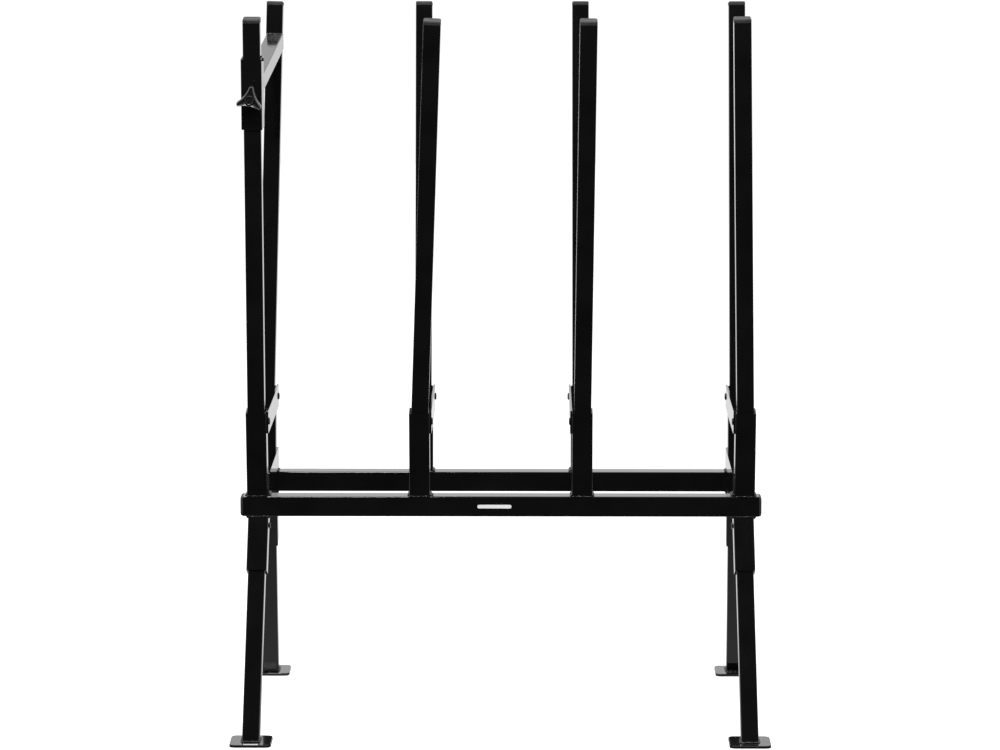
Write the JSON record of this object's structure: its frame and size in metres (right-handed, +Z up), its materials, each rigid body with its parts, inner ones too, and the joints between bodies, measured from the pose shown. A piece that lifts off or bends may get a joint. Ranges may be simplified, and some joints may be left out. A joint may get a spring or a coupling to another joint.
{
  "type": "firewood saw-horse",
  "caption": "Square-tube steel saw-horse with splayed legs, rows of leaning uprights forming a V trough, and a sliding hold-down arm with a clamping knob.",
  "frame": {"origin": "on the floor, in the middle between the four feet", "axes": "+X along the rails towards the right-hand end, +Y from the front rail to the rear rail, +Z up"},
  "size_m": [0.7826, 0.5208, 1.0486],
  "materials": {
    "powder_coat": "gloss black powder coat",
    "cap_plastic": "moulded black polyethylene end caps",
    "fastener_steel": "black oxide bolts and nuts",
    "zinc_steel": "zinc plated",
    "knob_plastic": "moulded black nylon"
  },
  "bodies": {
    "frame": {"rail_front": "powder_coat", "rail_cap_front_left": "cap_plastic", "leg_sleeve_front_left": "powder_coat", "leg_front_left": "powder_coat", "foot_plate_front_left": "powder_coat", "rail_cap_front_right": "cap_plastic", "leg_sleeve_front_right": "powder_coat", "leg_front_right": "powder_coat", "foot_plate_front_right": "powder_coat", "socket_front_1": "powder_coat", "upright_front_1": "powder_coat", "upright_cap_front_1": "cap_plastic", "socket_front_2": "powder_coat", "upright_front_2": "powder_coat", "upright_cap_front_2": "cap_plastic", "socket_front_3": "powder_coat", "upright_front_3": "powder_coat", "upright_cap_front_3": "cap_plastic", "socket_front_4": "powder_coat", "upright_front_4": "powder_coat", "upright_cap_front_4": "cap_plastic", "rail_rear": "powder_coat", "rail_cap_rear_left": "cap_plastic", "leg_sleeve_rear_left": "powder_coat", "leg_rear_left": "powder_coat", "foot_plate_rear_left": "powder_coat", "rail_cap_rear_right": "cap_plastic", "leg_sleeve_rear_right": "powder_coat", "leg_rear_right": "powder_coat", "foot_plate_rear_right": "powder_coat", "socket_rear_1": "powder_coat", "upright_rear_1": "powder_coat", "upright_cap_rear_1": "cap_plastic", "socket_rear_2": "powder_coat", "upright_rear_2": "powder_coat", "upright_cap_rear_2": "cap_plastic", "socket_rear_3": "powder_coat", "upright_rear_3": "powder_coat", "upright_cap_rear_3": "cap_plastic", "socket_rear_4": "powder_coat", "upright_rear_4": "powder_coat", "upright_cap_rear_4": "cap_plastic", "upper_tie_1": "powder_coat", "upper_tie_2": "powder_coat", "upper_tie_3": "powder_coat", "upper_tie_4": "powder_coat", "lower_tie_left": "powder_coat", "lower_tie_right": "powder_coat", "tie_bolts": "fastener_steel", "tie_nuts": "fastener_steel", "leg_bolts": "fastener_steel", "leg_nuts": "fastener_steel"},
    "hold_down": {"hold_down_sleeve": "powder_coat", "hold_down_arm": "powder_coat", "arm_cap": "cap_plastic", "clamp_nut": "zinc_steel"},
    "clamp_stud": {"clamp_stud": "zinc_steel"},
    "clamp_knob": {"clamp_knob": "knob_plastic"}
  },
  "joints": [
    {"name": "hold_down_slide", "type": "slide", "parent": "frame", "child": "hold_down", "axis": [0.0052, -0.1219, 0.9925], "range_m": [-0.17, 0.05]},
    {"name": "stud_slide", "type": "slide", "parent": "hold_down", "child": "clamp_stud", "axis": [-0.0488, -0.9914, -0.1215], "range_m": [0, 0.0025]},
    {"name": "knob_turn", "type": "hinge", "parent": "clamp_stud", "child": "clamp_knob", "pos_m": [-0.35581, -0.20369, 0.93301], "axis": [-0.0488, -0.9914, -0.1215], "range_deg": [-10, 730]}
  ],
  "couplings": [
    {"joint": "knob_turn", "follows": "stud_slide", "rad_per_m": 5026.5}
  ]
}
